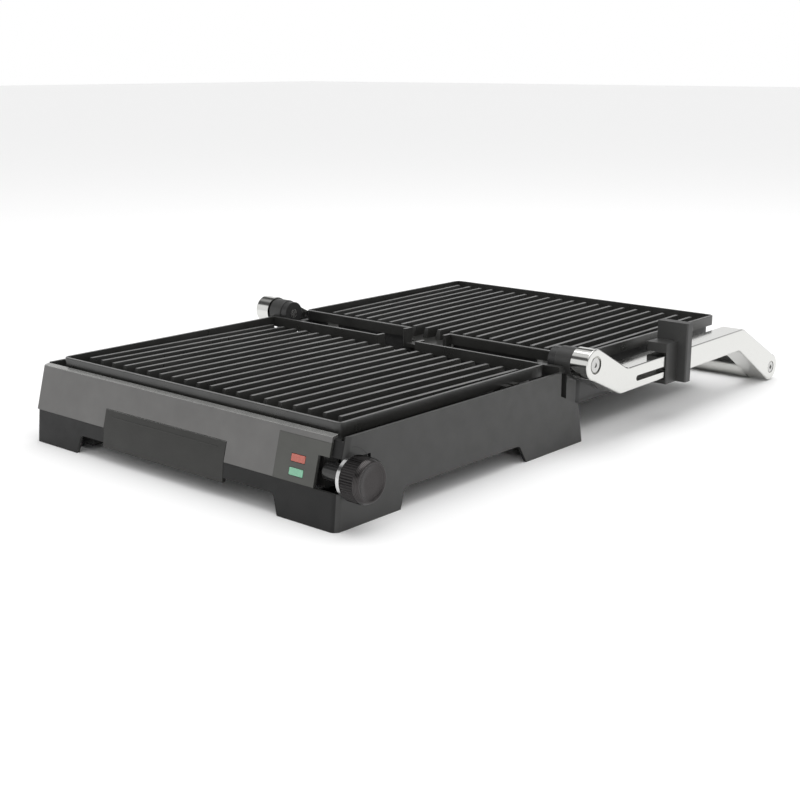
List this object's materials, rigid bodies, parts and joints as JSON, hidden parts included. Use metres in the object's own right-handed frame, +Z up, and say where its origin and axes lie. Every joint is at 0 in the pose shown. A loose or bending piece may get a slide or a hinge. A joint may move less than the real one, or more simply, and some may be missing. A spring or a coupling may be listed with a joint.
{
  "type": "electric contact grill",
  "caption": "Electric contact grill that opens flat, with ribbed plates, chrome arms, a front drip tray and a side temperature knob.",
  "frame": {"origin": "bottom centre of the whole grill's box, lid open flat", "axes": "+X towards the temperature knob, +Y from the front of the base to the handle of the opened lid, +Z up"},
  "size_m": [0.3754, 0.5852, 0.082],
  "materials": {
    "arm_chrome": "polished",
    "black_moulding": "satin black moulding",
    "cast_plate": "charcoal non-stick coating",
    "collar_chrome": "bright ring",
    "control_grey": "satin grey plastic",
    "foot_rubber": "black rubber",
    "green_lens": "frosted green lens",
    "handle_steel": "polished tube",
    "heater_steel": "heater sheath",
    "knob_metal": "dark metallised, knurled",
    "lamp_glass": "clear lamp",
    "lid_black": "satin black",
    "neck_black": "gloss black",
    "red_lens": "frosted red lens",
    "satin_grey": "satin grey paint",
    "screw_steel": "bright",
    "shield_steel": "bright sheet",
    "slider_black": "satin black",
    "tray_grey": "dark satin plastic"
  },
  "bodies": {
    "base": {"base_housing": "black_moulding", "bottom_cover": "black_moulding", "control_cover": "control_grey", "front_fascia": "satin_grey", "front_left_foot": "foot_rubber", "front_right_foot": "foot_rubber", "green_lamp": "lamp_glass", "green_lens": "green_lens", "knob_collar": "collar_chrome", "left_hinge_bracket": "black_moulding", "left_hinge_pin": "screw_steel", "lower_heat_shield": "shield_steel", "lower_heater": "heater_steel", "lower_plate": "cast_plate", "power_inlet": "black_moulding", "rear_left_foot": "foot_rubber", "rear_right_foot": "foot_rubber", "red_lamp": "lamp_glass", "red_lens": "red_lens", "right_hinge_bracket": "black_moulding", "right_hinge_pin": "screw_steel", "thermostat": "black_moulding"},
    "lid": {"left_arm": "arm_chrome", "right_arm": "arm_chrome", "handle_tube": "handle_steel", "left_handle_plug": "black_moulding", "right_handle_plug": "black_moulding", "left_handle_screw": "screw_steel", "right_handle_screw": "screw_steel", "lid_housing": "lid_black", "left_lid_studs": "screw_steel", "right_lid_studs": "screw_steel", "upper_plate": "cast_plate", "upper_heater": "heater_steel", "upper_heat_shield": "shield_steel"},
    "lock_slider": {"lock_slider": "slider_black", "slider_pin": "screw_steel"},
    "knob": {"temperature_knob": "knob_metal", "knob_shaft": "neck_black"},
    "drip_tray": {"drip_tray": "tray_grey"}
  },
  "joints": [
    {"name": "lid_hinge", "type": "hinge", "parent": "base", "child": "lid", "pos_m": [-0.00525, -0.0234, 0.0665], "axis": [1, 0, 0], "range_deg": [0, 180]},
    {"name": "slider_travel", "type": "slide", "parent": "lid", "child": "lock_slider", "axis": [0, -1, 0], "range_m": [0, 0.05]},
    {"name": "knob_turn", "type": "hinge", "parent": "base", "child": "knob", "pos_m": [0.16195, -0.2773, 0.0348], "axis": [1, 0, 0], "range_deg": [-270, 0]},
    {"name": "tray_slide", "type": "slide", "parent": "base", "child": "drip_tray", "axis": [0, -1, 0], "range_m": [0, 0.24]}
  ]
}
